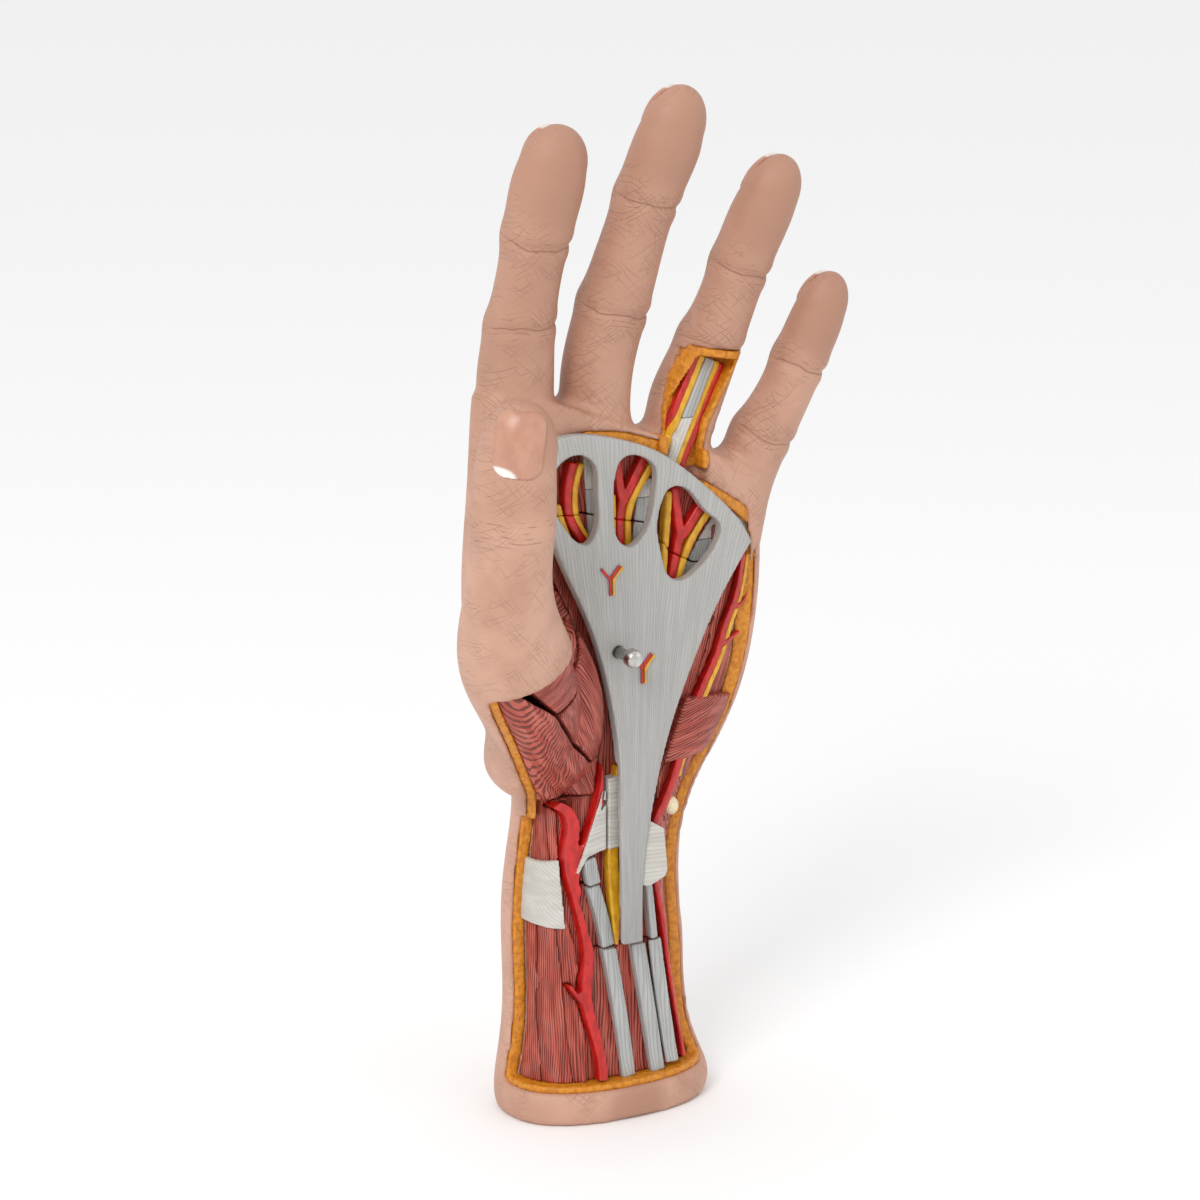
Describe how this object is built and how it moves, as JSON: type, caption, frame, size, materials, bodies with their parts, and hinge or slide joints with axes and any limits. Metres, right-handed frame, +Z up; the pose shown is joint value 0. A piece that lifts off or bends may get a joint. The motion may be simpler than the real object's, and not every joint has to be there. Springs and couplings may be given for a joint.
{
  "type": "anatomical hand model",
  "caption": "Life-size anatomical model of a left hand and wrist on a flat foot, its palm opened, with a lift-off tendon plate, a lift-off aponeurosis and a retaining pin.",
  "frame": {"origin": "centre of the flat foot face that the hand stands on", "axes": "+Z up the forearm and fingers, -Y out of the palm, +X towards the little finger"},
  "size_m": [0.1245, 0.0805, 0.2796],
  "materials": {
    "skin": "painted soft vinyl, satin",
    "nail": "painted, semi-gloss",
    "fat": "hand-painted ochre",
    "muscle": "hand-painted over moulded fibres",
    "artery": "hand-painted red",
    "nerve": "hand-painted yellow",
    "tendon": "hand-painted light grey",
    "fascia": "hand-painted off-white",
    "steel": "turned and polished"
  },
  "bodies": {
    "hand": {"abductor_digiti_minimi": "muscle", "abductor_pollicis_brevis": "muscle", "antebrachial_fascia_patch": "fascia", "brachioradialis_muscle": "muscle", "fat_layer": "fat", "fat_rim_palm": "fat", "fat_rim_ring_finger": "fat", "fat_rim_thumb": "fat", "flexor_carpi_radialis_muscle": "muscle", "flexor_carpi_ulnaris_muscle": "muscle", "flexor_digiti_minimi": "muscle", "flexor_muscle_bed": "muscle", "flexor_pollicis_brevis": "muscle", "flexor_pollicis_longus_muscle": "muscle", "flexor_retinaculum": "fascia", "foot_plate": "skin", "hand_shell": "skin", "hypothenar_artery": "artery", "hypothenar_nerve": "nerve", "index_finger": "skin", "index_nail": "nail", "little_finger": "skin", "little_nail": "nail", "middle_finger": "skin", "middle_nail": "nail", "opponens_pollicis": "muscle", "palm_digital_arteries": "artery", "palm_digital_nerves": "nerve", "palm_muscle_bed": "muscle", "palm_tendon_sheaths": "fascia", "palm_tendons": "tendon", "palmaris_brevis": "muscle", "palmaris_longus_tendon": "tendon", "pin_socket": "steel", "pisiform": "fascia", "radial_artery": "artery", "radial_wrist_tendon": "tendon", "ring_digital_arteries": "artery", "ring_digital_nerves": "nerve", "ring_finger": "skin", "ring_flexor_tendon": "tendon", "ring_nail": "nail", "ring_tendon_sheath": "fascia", "superficial_flexor_strands": "tendon", "thumb": "skin", "thumb_nail": "nail", "ulnar_artery": "artery", "ulnar_corner_band": "tendon"},
    "tendon_plate": {"median_nerve": "nerve", "plate_digital_arteries": "artery", "plate_digital_nerves": "nerve", "plate_retinaculum": "fascia", "plate_tendons": "tendon", "tendon_plate_bed": "muscle", "wrist_tab_tendons": "tendon"},
    "aponeurosis": {"palmar_aponeurosis": "tendon", "palmar_carpal_ligament": "fascia", "perforating_arteries": "artery", "perforating_nerves": "nerve"},
    "pin": {"retaining_pin": "steel"}
  },
  "joints": [
    {"name": "tendon_plate_lift", "type": "slide", "parent": "hand", "child": "tendon_plate", "axis": [0, -1, 0], "range_m": [0, 0.07]},
    {"name": "aponeurosis_lift", "type": "slide", "parent": "tendon_plate", "child": "aponeurosis", "axis": [0, -1, 0], "range_m": [0, 0.06]},
    {"name": "pin_pull", "type": "slide", "parent": "aponeurosis", "child": "pin", "axis": [0, -1, 0], "range_m": [0, 0.045]}
  ]
}
